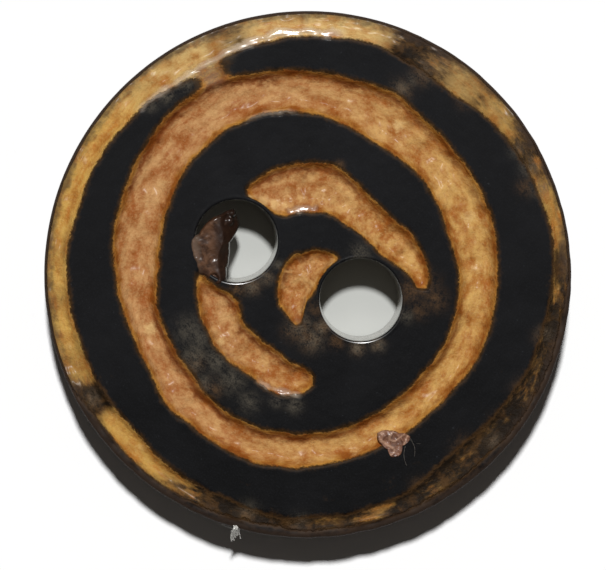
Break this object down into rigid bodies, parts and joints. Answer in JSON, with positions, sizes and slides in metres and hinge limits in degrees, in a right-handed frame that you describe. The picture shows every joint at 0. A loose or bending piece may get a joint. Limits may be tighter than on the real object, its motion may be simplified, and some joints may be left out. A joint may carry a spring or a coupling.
{
  "type": "carved sew-through button",
  "caption": "Round flat sew-through button with a dark skin, hand-carved rings and arcs showing the pale wood below, and drilled thread holes.",
  "frame": {"origin": "middle of the flat back", "axes": "+Z out of the carved face, +X along the line of the thread holes towards the hole beside the small crescent"},
  "size_m": [0.0203, 0.0202, 0.003],
  "materials": {
    "button": "black-stained skin with varnished, honey-coloured carving"
  },
  "bodies": {
    "root": {"button": "button"}
  },
  "joints": []
}
